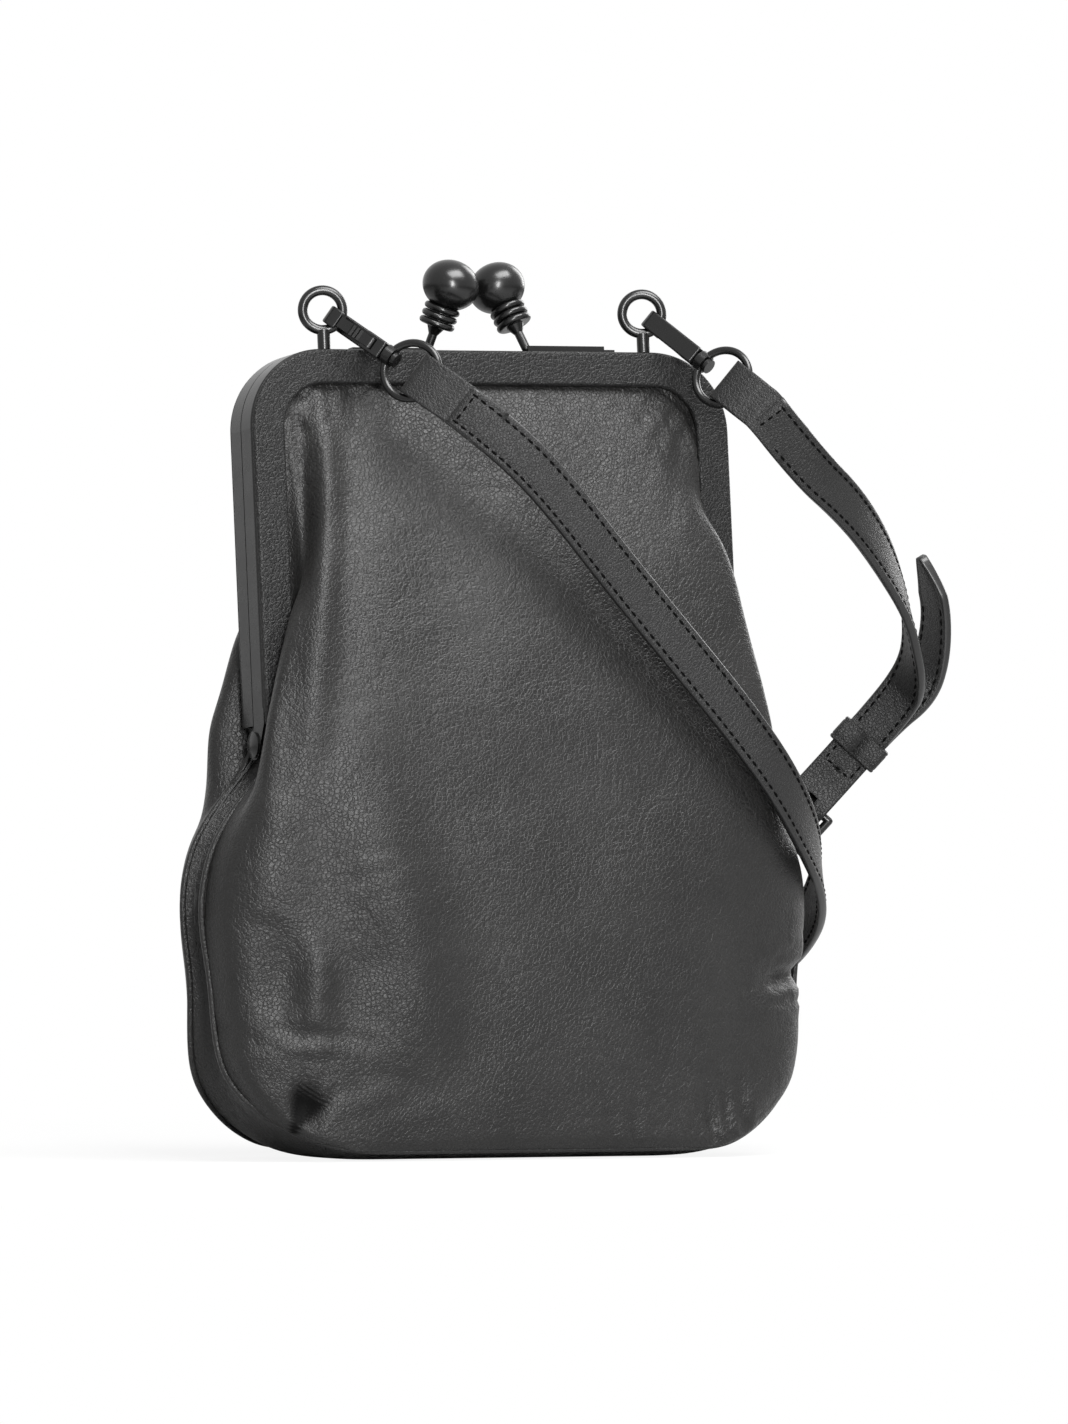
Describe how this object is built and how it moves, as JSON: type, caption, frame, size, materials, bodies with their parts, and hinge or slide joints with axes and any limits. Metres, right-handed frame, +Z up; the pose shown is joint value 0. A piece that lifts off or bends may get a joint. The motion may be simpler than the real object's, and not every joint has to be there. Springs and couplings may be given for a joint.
{
  "type": "kiss lock frame purse",
  "caption": "Soft leather purse on a hinged metal frame with a twist-past ball clasp, and a clip-on shoulder strap with buckle, keeper and snap hooks.",
  "frame": {"origin": "middle of the base, on the surface that the purse stands on", "axes": "+Z up, -Y the front, +X to the right seen from the front"},
  "size_m": [0.23, 0.126, 0.2346],
  "materials": {
    "soft_leather": "fine-grained soft black leather with a low sheen",
    "frame_leather": "pebbled black leather glued over the frame's face",
    "strap_leather": "smooth black leather with painted edges",
    "black_metal": "satin black",
    "lining_cloth": "plain woven black lining",
    "paper_cord": "twisted paper cord",
    "spring_steel": "bare spring leaf"
  },
  "bodies": {
    "purse": {"front_frame": "black_metal", "front_frame_cover": "frame_leather", "front_channel_cord": "paper_cord", "left_hinge_rivet": "black_metal", "right_hinge_rivet": "black_metal", "front_clasp_stem": "black_metal", "front_clasp_collar": "black_metal", "front_clasp_ball": "black_metal", "left_frame_ring": "black_metal", "right_frame_ring": "black_metal", "left_strap_ring": "black_metal", "right_strap_ring": "black_metal", "front_panel": "soft_leather", "back_panel": "soft_leather", "front_lining": "lining_cloth", "back_lining": "lining_cloth", "gusset": "soft_leather", "gusset_lining": "lining_cloth", "front_piping": "soft_leather", "back_piping": "soft_leather", "long_strap": "strap_leather", "short_strap": "strap_leather", "buckle_frame": "black_metal"},
    "back_half": {"back_frame": "black_metal", "back_frame_cover": "frame_leather", "back_channel_cord": "paper_cord", "back_clasp_stem": "black_metal", "back_clasp_collar": "black_metal", "back_clasp_ball": "black_metal", "back_panel_upper": "soft_leather", "back_lining_upper": "lining_cloth"},
    "left_hook": {"left_hook_body": "black_metal", "left_gate_pin": "black_metal", "left_gate_spring": "spring_steel"},
    "left_gate": {"left_hook_gate": "black_metal"},
    "right_hook": {"right_hook_body": "black_metal", "right_gate_pin": "black_metal", "right_gate_spring": "spring_steel"},
    "right_gate": {"right_hook_gate": "black_metal"},
    "keeper": {"strap_keeper": "strap_leather"},
    "prong": {"buckle_prong": "black_metal"}
  },
  "joints": [
    {"name": "frame_hinge", "type": "hinge", "parent": "purse", "child": "back_half", "pos_m": [0, 0, 0.1076], "axis": [-1, 0, 0], "range_deg": [0, 50]},
    {"name": "left_hook_swivel", "type": "hinge", "parent": "purse", "child": "left_hook", "pos_m": [-0.03361, -0.00539, 0.20947], "axis": [-0.5307, 0.6609, 0.5307], "range_deg": [-3, 8]},
    {"name": "left_gate_hinge", "type": "hinge", "parent": "left_hook", "child": "left_gate", "pos_m": [-0.03728, -0.0039, 0.21224], "axis": [-0.5186, 0.2421, -0.8201], "range_deg": [0, 20]},
    {"name": "right_hook_swivel", "type": "hinge", "parent": "purse", "child": "right_hook", "pos_m": [0.05641, -0.00627, 0.20881], "axis": [-0.4194, 0.719, 0.5542], "range_deg": [-2, 8]},
    {"name": "right_gate_hinge", "type": "hinge", "parent": "right_hook", "child": "right_gate", "pos_m": [0.05598, -0.00182, 0.21065], "axis": [0.5703, -0.2663, 0.7771], "range_deg": [0, 20]},
    {"name": "keeper_slide", "type": "slide", "parent": "purse", "child": "keeper", "axis": [0.5958, -0.3154, 0.7386], "range_m": [-0.003, 0.001]},
    {"name": "prong_lift", "type": "hinge", "parent": "purse", "child": "prong", "pos_m": [0.1044, 0.0275, 0.0924], "axis": [0.6691, -0.3139, -0.6737], "range_deg": [0, 2.5]}
  ]
}
